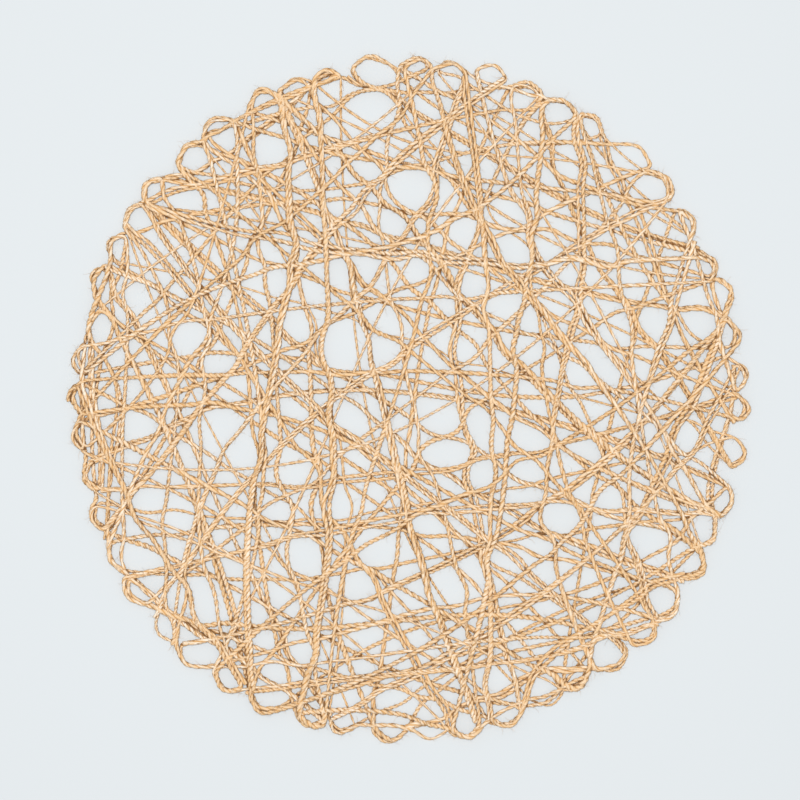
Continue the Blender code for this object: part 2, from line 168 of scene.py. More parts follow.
# A run: the straight line, plus sideways a parabola for its bow and one sine wave for its sway
def bowedLines(start, end, bow, sway):
    along = np.linspace(0, 1, winding["samples"])
    span = end - start
    length = np.hypot(span[:, 0], span[:, 1])
    side = np.stack([-span[:, 1], span[:, 0]], axis=-1) / length[:, None]
    offset = bow[:, None] * 4 * along * (1 - along) + sway[:, None] * np.sin(2 * math.pi * along)
    offset = offset * length[:, None]
    lines = start[:, None] + along[None, :, None] * span[:, None] + offset[..., None] * side[:, None]
    return lines, length


# Mean over a line of 1 minus the squared distance from an opening's centre, in units of its core
def blockedShare(lines, holes):
    acrossX = (lines[..., 0, None] - holes[:, 0]) / (holes[:, 2] * winding["openingCore"])
    acrossY = (lines[..., 1, None] - holes[:, 1]) / (holes[:, 3] * winding["openingCore"])
    return np.clip(1 - acrossX ** 2 - acrossY ** 2, 0, None).max(axis=-1).mean(axis=-1)


# Cords part round an opening: the distance from its centre, 1 at its edge, grows from between 0 and the
# reach to between 1 and the reach
def bendRound(points, holes):
    offX = points[..., 0, None] - holes[:, 0]
    offY = points[..., 1, None] - holes[:, 1]
    distance = np.maximum(np.hypot(offX / holes[:, 2], offY / holes[:, 3]), 1e-6)
    reach = winding["bendReach"]
    pushed = 1 + (reach - 1) * np.clip(distance / reach, 0, 1) ** winding["bendPower"]
    push = np.where(distance < reach, np.minimum(pushed / distance - 1, winding["bendMost"]), 0)
    return points + np.stack([(offX * push).sum(-1), (offY * push).sum(-1)], axis=-1)


# Weights of a bell curve: e to the minus squared distance over twice the squared spread, summing to 1
def bellWeights(spread, reach):
    bell = np.exp(-np.arange(-reach, reach + 1) ** 2 / (2 * spread ** 2))
    return bell / bell.sum()


# Stiff cord can't bend sharply: each point is a bell-weighted mean, and the ends stay where they are
def softened(points):
    spacing = np.hypot(*np.diff(points, axis=0).T).mean()
    spread = winding["softness"] / spacing
    reach = min(int(3 * spread) + 1, len(points) - 1)
    bell = bellWeights(spread, reach)
    padded = [np.pad(column, reach, mode="reflect", reflect_type="odd") for column in points.T]
    return np.stack([np.convolve(column, bell, "valid") for column in padded], axis=-1)


# Away from its two ends a run is drawn in to the rim's radius
def keepInside(points):
    length = np.hypot(*np.diff(points, axis=0).T).sum()
    along = np.linspace(0, 1, len(points))
    fromEnd = np.minimum(along, 1 - along) * length
    limit = winding["rimRadius"] + np.clip(1 - fromEnd / winding["endReach"], 0, 1) * winding["endRise"]
    radius = np.hypot(points[:, 0], points[:, 1])
    return points * np.minimum(limit / radius, 1)[:, None]


# Even points along a line, each a bell-weighted mean of its neighbours, so that corners are round
def roundedCord(points, radii):
    travel = np.append(0, np.cumsum(np.hypot(*np.diff(points, axis=0).T)))
    even = np.arange(0, travel[-1], winding["step"])
    spread = winding["turnRadius"] / winding["step"]
    reach = int(4 * spread)
    bell = bellWeights(spread, reach)
    columns = [points[:, 0], points[:, 1], radii]
    padded = [np.pad(np.interp(even, travel, column), reach, mode="edge") for column in columns]
    return np.stack([np.convolve(column, bell, "valid") for column in padded], axis=-1)


# Cells on each side of the square grid on which crowding is counted
def crowdingCount():
    return int(2 * winding["crowdingReach"] / winding["crowdingCell"])


def crowdingCells(points):
    cells = ((points + winding["crowdingReach"]) / winding["crowdingCell"]).astype(int)
    return np.clip(cells, 0, crowdingCount() - 1)


# Trial runs from a rim loop to others: both ends are on the loops' legs, to the side and below the tip
def trialRuns(rng, loop, side, direction, reach, halfWidth):
    w = winding
    trials = w["trials"]
    loopCount = len(direction)
    edgeRun = rng.random(trials) < w["edgeRunShare"]
    shortJump = rng.integers(*w["shortJump"], trials) * rng.choice([-1, 1], trials)
    longJump = rng.integers(w["longJump"], loopCount - w["longJump"] + 1, trials)
    target = (loop + np.where(edgeRun, shortJump, longJump)) % loopCount
    targetSide = rng.choice([-1, 1], trials)
    startTurn = side * halfWidth[loop] * rng.uniform(w["legLeast"], w["legMost"], trials)
    endTurn = targetSide * halfWidth[target] * rng.uniform(w["legLeast"], w["legMost"], trials)
    startDepth = rng.uniform(w["legHigh"], w["legLow"], trials)
    endDepth = rng.uniform(w["legHigh"], w["legLow"], trials)
    start = rimPoint(direction[loop] + startTurn, reach[loop] - startDepth)
    end = rimPoint(direction[target] + endTurn, reach[target] - endDepth)
    bow = rng.normal(0, w["bowShare"], trials)
    sway = rng.normal(0, w["swayShare"], trials)
    lines, lengths = bowedLines(start, end, bow, sway)
    return target, targetSide, lines, lengths


# Cost of each trial: its ground's mean crowding, its share in openings, how much its loop was used beyond
# the least used one, and its mean distance beyond the rim, each times its own weight
def runCosts(lines, lengths, holes, crowding, overused, thin):
    w = winding
    cells = crowdingCells(lines)
    blocked = blockedShare(lines, holes) * lengths / np.maximum(lengths, w["blockedLeastLength"])
    cost = crowding[cells[..., 1], cells[..., 0]].mean(axis=1) * w["crowdingCost"]
    cost += blocked * w["blockedCost"] * (w["blockedThin"] if thin else 1)
    cost += overused * w["visitCost"]
    outside = np.clip(np.hypot(lines[..., 0], lines[..., 1]) - w["rimRadius"], 0, None)
    cost += outside.mean(axis=1) * w["outsideCost"]
    return cost


# A run's radius: the cord's, times a share drawn between the least and the most for its kind
def runRadius(rng, thin, thick):
    w = winding
    radius = w["cordRadius"] * rng.uniform(*w["plainWidths"])
    if thick:
        radius = w["cordRadius"] * rng.uniform(*w["thickWidths"])
    if thin:
        radius = w["cordRadius"] * rng.uniform(*w["thinWidths"])
    return radius


# A line beside another: moved sideways by a set distance plus one sine wave
def besideLine(rng, line):
    w = winding
    beside = rng.uniform(w["besideLeast"], w["besideMost"]) * rng.choice([-1, 1])
    swing = rng.uniform(-w["besideSwing"], w["besideSwing"])
    phase = rng.uniform(0, 2 * math.pi)
    waves = rng.uniform(*w["besideWaves"])
    across = np.gradient(line, axis=0)
    across = np.stack([-across[:, 1], across[:, 0]], axis=-1) / np.hypot(*across.T)[:, None]
    along = np.linspace(0, 1, w["samples"])
    offset = beside + swing * np.sin(phase + waves * 2 * math.pi * along)
    return line + offset[:, None] * across


# The turn in a rim loop: its tip, and a point on each side of it and a little lower
def rimTurn(rng, direction, reach, halfWidth):
    w = winding
    top = reach - rng.uniform(0, w["loopDepth"])
    middle = direction + rng.normal(0, w["loopLean"])
    turns = middle + halfWidth * w["tipShare"] * np.array([1, 0, -1])
    return rimPoint(turns, top - np.array([1, 0, 1]) * w["tipDrop"])


# All runs and turns joined to one long cord, then the second cords. A lay is a stretch of cord as
# (cord, first sample, last sample), in the order of laying. A run's stretch ends at the tip of its loop
def joinedCords(wound, runs):
    wholeLine = np.vstack([points for points, _ in wound])
    wholeRadii = np.concatenate([np.full(len(points), width) for points, width in wound])
    cords = [roundedCord(wholeLine, wholeRadii)]
    travel = np.append(0, np.cumsum(np.hypot(*np.diff(wholeLine, axis=0).T)))
    turnPoints = len(wound[1][0])
    tips = np.arange(1, len(runs)) * (winding["samples"] + turnPoints) - 2
    cuts = np.concatenate([[0], travel[tips] / winding["step"], [len(cords[0])]]).astype(int)
    lays = []
    for number, laid in enumerate(runs):
        lays.append((0, cuts[number], cuts[number + 1]))
        for points, width in laid[1:]:
            lays.append((len(cords), 0, None))
            cords.append(roundedCord(points, np.full(len(points), width)))
    return cords, lays


# Each run starts where the last one left a rim loop and takes the cheapest of many trials. Some runs have
# a second cord laid beside them. At the end the web is centred on its own outline
def windCords():
    w = winding
    rng = np.random.default_rng(w["seed"])
    holes = np.array(openings) * mm
    direction, reach = np.array(rimLoops).T
    reach = reach * mm
    spacing = np.diff(np.append(direction, direction[0] + 360))
    halfWidth = w["loopShare"] * np.minimum(spacing, np.roll(spacing, 1))
    halfWidth = np.clip(halfWidth, w["loopLeast"], w["loopMost"])
    visits = np.zeros(len(direction))
    crowding = np.zeros((crowdingCount(), crowdingCount()))
    loop = 0
    side = 1
    wound = []
    runs = []
    for _ in range(w["runs"]):
        thin = rng.random() < w["thinShare"]
        thick = rng.random() < w["thickShare"]
        target, targetSide, lines, lengths = trialRuns(rng, loop, side, direction, reach, halfWidth)
        overused = np.maximum(0, visits[target] - visits.min() - 1)
        best = int(runCosts(lines, lengths, holes, crowding, overused, thin).argmin())
        radius = runRadius(rng, thin, thick)
        straight = thin and rng.random() < w["straightShare"]
        line = keepInside(lines[best] if straight else softened(bendRound(lines[best], holes)))
        laid = [(line, radius)]
        if not thin and lengths[best] > w["doubleLeastLength"] and rng.random() < w["doubleShare"]:
            second = keepInside(softened(bendRound(besideLine(rng, lines[best]), holes)))
            laid.append((second, radius * rng.uniform(*w["secondWidths"])))
        for points, width in laid:
            travel = np.hypot(*np.diff(points, axis=0).T).sum()
            cells = crowdingCells(points)
            share = travel / w["samples"] * 2 * width / w["crowdingCell"] ** 2
            np.add.at(crowding, (cells[:, 1], cells[:, 0]), share)
        loop = int(target[best])
        turn = int(targetSide[best])
        wound.append((line, radius))
        wound.append((rimTurn(rng, direction[loop], reach[loop], halfWidth[loop] * turn), radius))
        runs.append(laid)
        visits[loop] += 1
        side = -turn
    cords, lays = joinedCords(wound, runs)
    low = np.min([(cord[:, :2] - cord[:, 2:]).min(axis=0) for cord in cords], axis=0)
    high = np.max([(cord[:, :2] + cord[:, 2:]).max(axis=0) for cord in cords], axis=0)
    for cord in cords:
        cord[:, :2] -= (low + high) / 2
    return cords, lays


cords, lays = windCords()
print("wound", round(sum(len(cord) for cord in cords) * winding["step"], 1), "metres of cord")

# Laying: how the cords stack
laying = {
    "gridReach": 200 * mm,
    "gridPitch": 0.4 * mm,
    "sink": 0.35 * mm,  # how far a cord presses into those under it
    "lift": 3.0 * mm,  # length over which a cord rises to a crossing
    "rounds": 6,
    "looseEnd": 3.0 * mm,
    "pressedHeight": 2.7 * mm,
    "shadeReach": 1.2 * mm,
}


# Each value becomes the bell-weighted mean of those around it
def bellMean(values, spread):
    reach = int(4 * spread)
    return np.convolve(np.pad(values, reach, mode="edge"), bellWeights(spread, reach), "valid")


# Grid cells under a stretch of cord, and the height of its round back above its centre line over each
def footprint(stretch):
    pitch = laying["gridPitch"]
    reach = int(stretch[:, 2].max() / pitch) + 1
    steps = np.arange(-reach, reach + 1)
    stepX, stepY = (part.ravel() for part in np.meshgrid(steps, steps))
    home = np.round((stretch[:, :2] + laying["gridReach"]) / pitch).astype(int)
    column = home[:, 0, None] + stepX
    row = home[:, 1, None] + stepY
    away = np.hypot(column * pitch - laying["gridReach"] - stretch[:, 0, None],
                    row * pitch - laying["gridReach"] - stretch[:, 1, None])
    radius = stretch[:, 2, None]
    back = np.sqrt(np.maximum(radius ** 2 - away ** 2, 0))
    return row, column, back, away < radius


# Each stretch drops until its round underside meets what lies there, sinks in a little, and is smoothed
# along its length without passing back through what it crosses
def layCords():
    count = int(2 * laying["gridReach"] / laying["gridPitch"]) + 1
    surface = np.zeros((count, count))
    heights = [np.zeros(len(cord)) for cord in cords]
    spread = laying["lift"] / winding["step"] / 2
    loose = int(laying["looseEnd"] / winding["step"])
    waiting = None
    for cord, first, last in lays:
        stretch = cords[cord][first:last]
        row, column, back, under = footprint(stretch)
        below = surface[row, column]
        need = np.where(under & (below > 0), below + back, 0).max(axis=1) - laying["sink"]
        need = np.maximum(need, stretch[:, 2])
        height = need
        for _ in range(laying["rounds"]):
            height = np.maximum(need, bellMean(height, spread))
        height = bellMean(height, spread / 3)
        heights[cord][first:last] = height
        top = np.where(under, height[:, None] + back, 0)
        if waiting is not None:
            np.maximum.at(surface, waiting[:2], waiting[2])
        free = slice(0, len(stretch) - loose)
        np.maximum.at(surface, (row[free], column[free]), top[free])
        held = slice(len(stretch) - loose, None)
        waiting = (row[held], column[held], top[held])
    heights[0] = bellMean(heights[0], spread / 2)
    return heights


# Stacks are pressed flat: the pressed height times 1 minus e to the minus height over the pressed height
def pressed(height):
    return laying["pressedHeight"] * (1 - np.exp(-height / laying["pressedHeight"]))


def settleCords():
    heights = layCords()
    solid = []
    for cord, height in zip(cords, heights):
        lifted = cord[:, 2] + pressed(np.maximum(height - cord[:, 2], 0))
        solid.append(np.column_stack([cord[:, :2], lifted, cord[:, 2]]))
    return solid


laidCords = settleCords()
print("laid, highest centre line", round(max(cord[:, 2].max() for cord in laidCords) / mm, 2), "mm")


# Mean height of the pressed web around each grid point, from which the shading of low cords is taken
def webSurface():
    count = int(2 * laying["gridReach"] / laying["gridPitch"]) + 1
    surface = np.zeros((count, count))
    for cord in laidCords:
        stretch = cord[:, [0, 1, 3]]
        row, column, back, under = footprint(stretch)
        top = np.where(under, cord[:, 2, None] + back, 0)
        np.maximum.at(surface, (row, column), top)
    reach = int(laying["shadeReach"] / laying["gridPitch"])
    steps = range(-reach, reach + 1)
    shifted = [np.roll(surface, step, axis=0) for step in steps]
    surface = sum(shifted) / len(shifted)
    shifted = [np.roll(surface, step, axis=1) for step in steps]
    return sum(shifted) / len(shifted)


meanSurface = webSurface()

# Cord: two plies side by side, turning along the cord
cordShape = {
    "sides": 8,
    "ringStep": 1.06 * mm,
    "fullness": 1.08,  # the loose plies stand out this much from the wound radius
    "plyTwist": 9.0 * mm,  # length of one turn
    "twistSpread": 0.34,  # unevenness of the twist
    "twistMost": 1.8,  # in spreads
    "twistLength": 20 * mm,
    "plyOffset": 0.3,  # ply centre, as a share of the cord's radius
    "slub": 0.1,  # unevenness of the radius
    "slubMost": 2,
    "slubLength": 12 * mm,
    "flatness": 0.9,
    "lowest": 0.02 * mm,
    "tint": 0.5,  # paleness of the cord, from 0 to 1
    "tintByCord": 0.22,
    "tintAlong": 0.2,
    "tintLength": 30 * mm,
    "shadeDepth": 2.0 * mm,
    "shadeStart": 0.25,
    "patternShift": 1.7,  # metres of noise between one cord and the next
    "pieceLength": 11.1,
    "seed": 21,
}


# Outline of two touching round plies at an angle: where a ray leaves the nearer ply's circle, which is the
# offset times the cosine plus the root of the ply's square less the offset's times the sine's
def plyOutline(angle):
    offset = cordShape["plyOffset"]
    ply = 1 - offset
    return offset * np.abs(np.cos(angle)) + np.sqrt(ply ** 2 - (offset * np.sin(angle)) ** 2)


# Smooth random values along a cord: even noise, bell-weighted, scaled to unit spread
def slowNoise(rng, count, spacing, length):
    noise = rng.normal(0, 1, count)
    noise = bellMean(noise, max(length / spacing, 1))
    return noise / max(noise.std(), 1e-9)


# Rings of the outline carried along the cord. Each ring stands square to the cord and is turned by the
# twist, so a point is the centre plus its radius times (cosine of its turn sideways, sine of it upward)
def cordRings(cord, rng, number):
    travel = np.append(0, np.cumsum(np.linalg.norm(np.diff(cord[:, :3], axis=0), axis=1)))
    rings = max(int(travel[-1] / cordShape["ringStep"]), 3)
    even = np.linspace(0, travel[-1], rings)
    centre = np.stack([np.interp(even, travel, cord[:, axis]) for axis in range(3)], axis=-1)
    radius = np.interp(even, travel, cord[:, 3])
    slub = slowNoise(rng, rings, cordShape["ringStep"], cordShape["slubLength"])
    most = cordShape["slubMost"]
    radius = radius * cordShape["fullness"] * (1 + cordShape["slub"] * np.clip(slub, -most, most))
    ahead = np.gradient(centre, axis=0)
    ahead /= np.linalg.norm(ahead, axis=1)[:, None]
    side = np.stack([-ahead[:, 1], ahead[:, 0], np.zeros(rings)], axis=-1)
    side /= np.linalg.norm(side, axis=1)[:, None]
    up = np.cross(ahead, side) * cordShape["flatness"]
    sides = cordShape["sides"]
    angle = np.arange(sides) * 2 * math.pi / sides
    tightness = slowNoise(rng, rings, cordShape["ringStep"], cordShape["twistLength"])
    most = cordShape["twistMost"]
    tightness = 1 + cordShape["twistSpread"] * np.clip(tightness, -most, most)
    turn = np.cumsum(tightness) * cordShape["ringStep"] / cordShape["plyTwist"] * 2 * math.pi
    turn += rng.uniform(0, 2 * math.pi)
    spoke = plyOutline(angle)[None] * radius[:, None]
    spin = angle[None] + turn[:, None]
    across = np.cos(spin)[..., None] * side[:, None] + np.sin(spin)[..., None] * up[:, None]
    points = centre[:, None] + spoke[..., None] * across
    points[..., 2] = np.maximum(points[..., 2], cordShape["lowest"])
    tint = cordShape["tint"] + cordShape["tintByCord"] * rng.normal()
    shift = slowNoise(rng, rings, cordShape["ringStep"], cordShape["tintLength"])
    tint = np.clip(tint + cordShape["tintAlong"] * shift, 0, 1)
    # How far a point is turned from the cord's top to its side, 0 on top and 1 at the side: it sets the
    # painted shade on the flanks, which face away from the lamp overhead
    flankShade = 1 - np.maximum(np.sin(spin), 0)
    travel = even + number * cordShape["patternShift"]
    return {"points": points, "travel": travel, "tint": tint, "flankShade": flankShade.reshape(-1)}


# How far a point lies below the web around it, over the shade's depth: from 0 on top to 1 deep in
def shadeOf(points):
    cell = np.round((points[:, :2] + laying["gridReach"]) / laying["gridPitch"]).astype(int)
    around = meanSurface[cell[:, 1], cell[:, 0]]
    below = (around - points[:, 2]) / cordShape["shadeDepth"]
    return np.clip(below + cordShape["shadeStart"], 0, 1)


# One mesh from many strings of rings: a quad between neighbours on two rings, a flat cap at both ends
def ringMesh(name, strings, sides):
    points = np.concatenate([string["points"].reshape(-1, 3) for string in strings])
    faces = []
    across = []
    lengthwise = []
    capFaces = []
    first = 0
    for string in strings:
        rings = len(string["points"])
        ring, corner = np.meshgrid(np.arange(rings - 1), np.arange(sides), indexing="ij")
        after = (corner + 1) % sides
        here = first + ring * sides
        beyond = here + sides
        quad = np.stack([here + corner, here + after, beyond + after, beyond + corner], axis=-1)
        faces.append(quad.reshape(-1, 4))
        around = np.stack([corner, corner + 1, corner + 1, corner], axis=-1) / sides
        across.append(around.reshape(-1))
        near = string["travel"][ring]
        far = string["travel"][ring + 1]
        lengthwise.append(np.stack([near, near, far, far], axis=-1).reshape(-1))
        capFaces.append(first + np.arange(sides)[::-1])
        capFaces.append(first + (rings - 1) * sides + np.arange(sides))
        first += rings * sides
    quads = np.concatenate(faces)
    caps = np.concatenate(capFaces)
    corners = np.concatenate([quads.reshape(-1), caps]).astype(np.int32)
    capStarts = len(quads) * 4 + np.arange(len(capFaces)) * sides
    starts = np.concatenate([np.arange(len(quads)) * 4, capStarts])
    mesh = bpy.data.meshes.new(name)
    mesh.vertices.add(len(points))
    mesh.vertices.foreach_set("co", points.astype(np.float32).reshape(-1))
    mesh.loops.add(len(corners))
    mesh.loops.foreach_set("vertex_index", corners)
    mesh.polygons.add(len(starts))
    mesh.polygons.foreach_set("loop_start", starts.astype(np.int32))
    mesh.polygons.foreach_set("use_smooth", np.ones(len(starts), dtype=bool))
    mesh.update(calc_edges=True)
    uv = np.zeros((len(corners), 2), dtype=np.float32)
    uv[:len(quads) * 4, 0] = np.concatenate(lengthwise)
    uv[:len(quads) * 4, 1] = np.concatenate(across)
    layer = mesh.uv_layers.new(name="along")
    layer.data.foreach_set("uv", uv.reshape(-1))
    tint = np.concatenate([np.repeat(string["tint"], sides) for string in strings])
    flankShade = np.concatenate([string["flankShade"] for string in strings])
    for label, values in (("tint", tint), ("flankShade", flankShade), ("shade", shadeOf(points))):
        attribute = mesh.attributes.new(label, "FLOAT", "POINT")
        attribute.data.foreach_set("value", values.astype(np.float32))
    mesh.validate()
    return mesh


def addPiece(name, mesh, material):
    mesh.materials.append(material)
    item = bpy.data.objects.new(name, mesh)
    scene.collection.objects.link(item)
    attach(item, "root")
    return item


# Jute: colours as linear light
jute = {
    "crest": (0.785, 0.508, 0.25),
    "crestPale": (0.875, 0.76, 0.61),
    # painted shade in the groove between the plies, a darker orange than the ply's back
    "grooveShade": (0.63, 0.335, 0.11),
    # painted shade for cords that lie below the web around them, as in crevices and under crossings
    "deepShade": (0.2, 0.075, 0.008),
    # dark brown of the specks: random fibre marks, set mostly on the flanks as painted shade
    "speckAndShade": (0.21, 0.08, 0.008),
    # painted shade on the cord's sides, which are turned away from the lamp overhead
    "flankShade": (0.76, 0.435, 0.16),
    "flankRange": (0.3, 1.0),  # from the cord's top to its side, where the flank's colour comes in
    "flankMost": 0.85,
    "grooveWidth": (0.08, 0.55),  # where along the ply's back the groove's colour starts and ends
    "fibreLength": 6.2 * mm,
    "fibreAround": 7.0,
    "fibreRange": (0.3, 0.7),
    "fibreShare": 0.4,  # of the pale marks, and the patches have the rest
    "streakRange": (0.25, 0.55),
    "streakDark": 0.82,
    "patchLength": 2.8 * mm,
    "patchAround": 0.6,
    "patchRange": (0.36, 0.64),
    "paleLeast": 0.35,
    "speckLength": 2.2 * mm,
    "speckAround": 0.9,
    "speckRange": (0.555, 0.625),
    "speckMost": 0.9,
    "speckFlank": (0.0, 0.6),
    "speckOnTop": 0.25,  # share of the specks that stays on the cord's top
    "depthRange": (0.36, 0.78),
    "depthMost": 0.97,
    "noiseRoughness": 0.6,
    "roughness": 0.82,
    "sheen": 0.55,
    "sheenRoughness": 0.5,
    "sheenTint": (1.0, 0.67, 0.38),
    "bump": 0.12 * mm,
    "bumpStrength": 0.7,
}


def link(tree, source, output, target, socket):
    tree.links.new(source.outputs[output], target.inputs[socket])


def mathNode(tree, operation, first, second=None):
    node = tree.nodes.new("ShaderNodeMath")
    node.operation = operation
    for index, value in enumerate((first, second)):
        if value is None:
            continue
        if isinstance(value, (int, float)):
            node.inputs[index].default_value = value
        else:
            tree.links.new(value, node.inputs[index])
    return node.outputs[0]


# A soft step: below the first limit it gives the first result, above the second the second
def rangeNode(tree, value, limits, results=(0.0, 1.0)):
    node = tree.nodes.new("ShaderNodeMapRange")
    node.interpolation_type = "SMOOTHSTEP"
    tree.links.new(value, node.inputs["Value"])
    sockets = ("From Min", "From Max", "To Min", "To Max")
    for name, number in zip(sockets, (*limits, *results)):
        node.inputs[name].default_value = number
    return node.outputs["Result"]


def attributeNode(tree, name):
    node = tree.nodes.new("ShaderNodeAttribute")
    node.attribute_name = name
    return node.outputs["Fac"]


def mixNode(tree, factor, first, second, blend="MIX"):
    node = tree.nodes.new("ShaderNodeMix")
    node.data_type = "RGBA"
    node.blend_type = blend
    for value, socket in ((factor, 0), (first, 6), (second, 7)):
        if isinstance(value, (int, float)):
            node.inputs[socket].default_value = value
        elif isinstance(value, tuple):
            node.inputs[socket].default_value = (*value, 1.0)
        else:
            tree.links.new(value, node.inputs[socket])
    return node.outputs[2]


# Noise on the cord: it reads the travel along the cord over a length, and a circle round the cord as
# (cosine, sine) times a radius
def cordNoise(tree, split, cosine, sine, length, around, detail):
    place = tree.nodes.new("ShaderNodeCombineXYZ")
    tree.links.new(mathNode(tree, "MULTIPLY", split.outputs[0], 1 / length), place.inputs[0])
    tree.links.new(mathNode(tree, "MULTIPLY", cosine, around), place.inputs[1])
    tree.links.new(mathNode(tree, "MULTIPLY", sine, around), place.inputs[2])
    noise = tree.nodes.new("ShaderNodeTexNoise")
    noise.inputs["Scale"].default_value = 1.0
    noise.inputs["Detail"].default_value = detail
    noise.inputs["Roughness"].default_value = jute["noiseRoughness"]
    link(tree, place, 0, noise, "Vector")
    return noise


# A ply's back is pale, with long streaks and short patches. The groove between the plies and the cord's
# flanks are more orange, as painted shade;
# brown specks lie at random but mostly on the flanks, partly as painted shade, and cords that lie deep are
# darker, as painted shade
def juteMaterial():
    material = bpy.data.materials.new("juteCord")
    material.use_nodes = True
    tree = material.node_tree
    shader = tree.nodes["Principled BSDF"]
    uv = tree.nodes.new("ShaderNodeUVMap")
    uv.uv_map = "along"
    split = tree.nodes.new("ShaderNodeSeparateXYZ")
    link(tree, uv, "UV", split, 0)
    turn = mathNode(tree, "MULTIPLY", split.outputs[1], 2 * math.pi)
    cosine = mathNode(tree, "COSINE", turn)
    sine = mathNode(tree, "SINE", turn)
    fibre = cordNoise(tree, split, cosine, sine, jute["fibreLength"], jute["fibreAround"], 3.0)
    patch = cordNoise(tree, split, cosine, sine, jute["patchLength"], jute["patchAround"], 2.0)
    speckAndShade = cordNoise(tree, split, cosine, sine, jute["speckLength"], jute["speckAround"], 1.0)
    flankShade = attributeNode(tree, "flankShade")

    fibreLight = rangeNode(tree, fibre.outputs["Fac"], jute["fibreRange"])
    fibreLight = mathNode(tree, "MULTIPLY", fibreLight, jute["fibreShare"])
    patchLight = rangeNode(tree, patch.outputs["Fac"], jute["patchRange"])
    patchLight = mathNode(tree, "MULTIPLY", patchLight, 1 - jute["fibreShare"])
    light = mathNode(tree, "ADD", fibreLight, patchLight)
    paleness = mathNode(tree, "ADD", attributeNode(tree, "tint"), jute["paleLeast"])
    paleness = mathNode(tree, "MULTIPLY", paleness, light)
    crestColour = mixNode(tree, paleness, jute["crest"], jute["crestPale"])
    # Painted shade: the groove between the plies takes a darker orange than the ply's back
    crest = rangeNode(tree, mathNode(tree, "ABSOLUTE", cosine), jute["grooveWidth"])
    ply = mixNode(tree, crest, jute["grooveShade"], crestColour)

    streak = rangeNode(tree, fibre.outputs["Fac"], jute["streakRange"], (jute["streakDark"], 1.0))
    grey = tree.nodes.new("ShaderNodeCombineColor")
    for index in range(3):
        tree.links.new(streak, grey.inputs[index])
    streaked = mixNode(tree, 1.0, ply, grey.outputs[0], "MULTIPLY")
    # Painted shade on the cord's sides, growing from the cord's top to its side
    flankShare = rangeNode(tree, flankShade, jute["flankRange"], (0.0, jute["flankMost"]))
    flanked = mixNode(tree, flankShare, streaked, jute["flankShade"])

    # Specks: random dark fibre marks, partly painted shade, since they gather on the shaded flanks
    speckPlace = rangeNode(tree, flankShade, jute["speckFlank"], (jute["speckOnTop"], 1.0))
    speckLight = rangeNode(tree, speckAndShade.outputs["Fac"], jute["speckRange"], (0.0, jute["speckMost"]))
    speckShare = mathNode(tree, "MULTIPLY", speckPlace, speckLight)
    specked = mixNode(tree, speckShare, flanked, jute["speckAndShade"])
    # Painted shade: cords lying below the web around them are darkened toward deep brown
    depth = rangeNode(tree, attributeNode(tree, "shade"), jute["depthRange"], (0.0, jute["depthMost"]))
    colour = mixNode(tree, depth, specked, jute["deepShade"])
    tree.links.new(colour, shader.inputs["Base Color"])

    bump = tree.nodes.new("ShaderNodeBump")
    bump.inputs["Strength"].default_value = jute["bumpStrength"]
    bump.inputs["Distance"].default_value = jute["bump"]
    link(tree, fibre, "Fac", bump, "Height")
    link(tree, bump, "Normal", shader, "Normal")
    shader.inputs["Roughness"].default_value = jute["roughness"]
    shader.inputs["Sheen Weight"].default_value = jute["sheen"]
    shader.inputs["Sheen Roughness"].default_value = jute["sheenRoughness"]
    shader.inputs["Sheen Tint"].default_value = (*jute["sheenTint"], 1.0)
    return material


juteSurface = juteMaterial()


# The wound cord is built in a few lengths, in the order of winding, and the last is shorter. The second
# cords are one piece
def buildCords():
    rng = np.random.default_rng(cordShape["seed"])
    main = laidCords[0]
    cuts = np.arange(0, len(main) - 1, int(cordShape["pieceLength"] / winding["step"]))
    cuts = np.append(cuts, len(main) - 1)
    lengths = len(cuts) - 1
    pieces = []
    for number in range(lengths):
        strings = [cordRings(main[cuts[number]:cuts[number + 1] + 1], rng, number)]
        name = f"woundCord{number + 1}"
        mesh = ringMesh(name, strings, cordShape["sides"])
        pieces.append(addPiece(name, mesh, juteSurface))
    strings = [cordRings(cord, rng, lengths + number) for number, cord in enumerate(laidCords[1:])]
    mesh = ringMesh("secondCords", strings, cordShape["sides"])
    pieces.append(addPiece("secondCords", mesh, juteSurface))
    for piece in pieces:
        print(piece.name, len(piece.data.polygons) * 2, "triangles")
    return pieces


cordPieces = buildCords()

# Stray fibres that stand out of the cords
strays = {
    "count": 12000,
    "length": (1.5 * mm, 5.0 * mm),
    "radius": 0.075 * mm,
    "points": 3,
    "sides": 3,
    "lean": 0.55,  # how far they turn away from the cord's run
    "curl": 0.5,
    "fromEnds": 10,  # samples of cord at the ends of the list that have none
    "root": 0.8,  # height above the cord's centre line, in radii
    "rise": (-0.2, 0.9),
    "riseShare": 0.4,
    "lowest": 1.5,  # height above the floor, in their own radii
    "taper": 0.7,
    "tint": 0.4,
    "seed": 5,
}


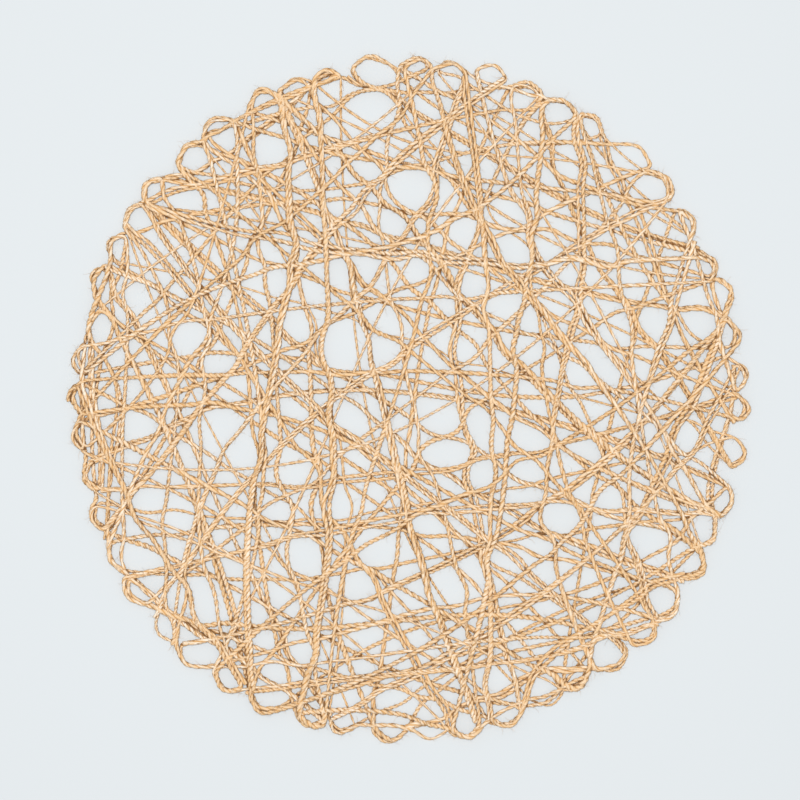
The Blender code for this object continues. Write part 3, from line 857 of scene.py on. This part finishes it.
# Each fibre starts on a cord's back and bends evenly: each step goes on by the cosine and sine of its
# heading plus its bend times twice the share of its length
def buildStrays():
    rng = np.random.default_rng(strays["seed"])
    count = strays["count"]
    every = np.vstack(laidCords)
    ahead = np.gradient(every[:, :3], axis=0)
    chosen = rng.integers(strays["fromEnds"], len(every) - strays["fromEnds"], count)
    heading = np.arctan2(ahead[chosen, 1], ahead[chosen, 0]) + rng.choice([0, math.pi], count)
    heading += rng.uniform(-strays["lean"], strays["lean"], count)
    length = rng.uniform(*strays["length"], count)
    share = np.linspace(0, 1, strays["points"])
    bend = rng.normal(0, strays["curl"], count)
    angle = heading[:, None] + bend[:, None] * share * 2
    step = length[:, None] / (strays["points"] - 1)
    x = every[chosen, 0, None] + np.cumsum(np.cos(angle) * step, axis=1)
    y = every[chosen, 1, None] + np.cumsum(np.sin(angle) * step, axis=1)
    rise = rng.uniform(*strays["rise"], count)[:, None] * share * length[:, None] * strays["riseShare"]
    z = every[chosen, 2, None] + every[chosen, 3, None] * strays["root"] + rise
    z = np.maximum(z, strays["radius"] * strays["lowest"])
    centre = np.stack([x, y, z], axis=-1)
    spin = np.arange(strays["sides"]) * 2 * math.pi / strays["sides"]
    radius = strays["radius"] * (1 - strays["taper"] * share)
    side = np.stack([-np.sin(angle), np.cos(angle), np.zeros_like(angle)], axis=-1)
    up = np.array([0, 0, 1.0])
    ring = np.cos(spin)[:, None] * side[:, :, None] + np.sin(spin)[:, None] * up
    points = centre[:, :, None] + radius[:, None, None] * ring
    tint = np.full(strays["points"], strays["tint"])
    flankShade = np.zeros(strays["points"] * strays["sides"])
    strings = []
    for number in range(count):
        travel = share * length[number] + number
        strings.append({"points": points[number], "travel": travel, "tint": tint, "flankShade": flankShade})
    mesh = ringMesh("strayFibres", strings, strays["sides"])
    return addPiece("strayFibres", mesh, juteSurface)


strayPiece = buildStrays()
print("stray fibres", strays["count"])

# Floor and light
studio = {
    "floorSize": 3.0,
    "floorColour": (0.605, 0.635, 0.65),
    "floorRoughness": 0.9,
    "floorShine": 0.1,
    "skyColour": (0.97, 0.985, 1.0),
    "skyStrength": 0.34,
    "skySeen": 0.45,  # how much paler the room looks to the camera
    "lampSize": 0.5,
    "lampPlace": (-0.06, 0.1, 2.4),
    "lampPower": 58.3,
}


def makeFloor():
    half = studio["floorSize"] / 2
    mesh = bpy.data.meshes.new("floor")
    corners = [(-half, -half, 0), (half, -half, 0), (half, half, 0), (-half, half, 0)]
    mesh.from_pydata(corners, [], [(0, 1, 2, 3)])
    material = bpy.data.materials.new("paleFloor")
    material.use_nodes = True
    shader = material.node_tree.nodes["Principled BSDF"]
    shader.inputs["Base Color"].default_value = (*studio["floorColour"], 1.0)
    shader.inputs["Roughness"].default_value = studio["floorRoughness"]
    shader.inputs["Specular IOR Level"].default_value = studio["floorShine"]
    mesh.materials.append(material)
    item = bpy.data.objects.new("floor", mesh)
    scene.collection.objects.link(item)
    return item


# A pale sky all round and one soft lamp nearly overhead, which is turned to face the mat's centre
def makeLight():
    world = bpy.data.worlds.new("paleRoom")
    world.use_nodes = True
    tree = world.node_tree
    sky = tree.nodes["Background"]
    sky.inputs["Color"].default_value = (*studio["skyColour"], 1.0)
    rays = tree.nodes.new("ShaderNodeLightPath")
    seen = mathNode(tree, "MULTIPLY", rays.outputs["Is Camera Ray"], studio["skySeen"])
    tree.links.new(mathNode(tree, "ADD", seen, studio["skyStrength"]), sky.inputs["Strength"])
    scene.world = world
    data = bpy.data.lights.new("softLamp", "AREA")
    data.size = studio["lampSize"]
    data.energy = studio["lampPower"]
    lamp = bpy.data.objects.new("softLamp", data)
    place = np.array(studio["lampPlace"])
    lamp.location = place
    tilt = math.atan2(math.hypot(place[0], place[1]), place[2])
    lamp.rotation_euler = (tilt, 0, math.atan2(place[1], place[0]) + math.pi / 2)
    scene.collection.objects.link(lamp)
    scene.view_settings.view_transform = "Standard"


floor = makeFloor()
makeLight()

for piece in cordPieces + [strayPiece]:
    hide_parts("mat")
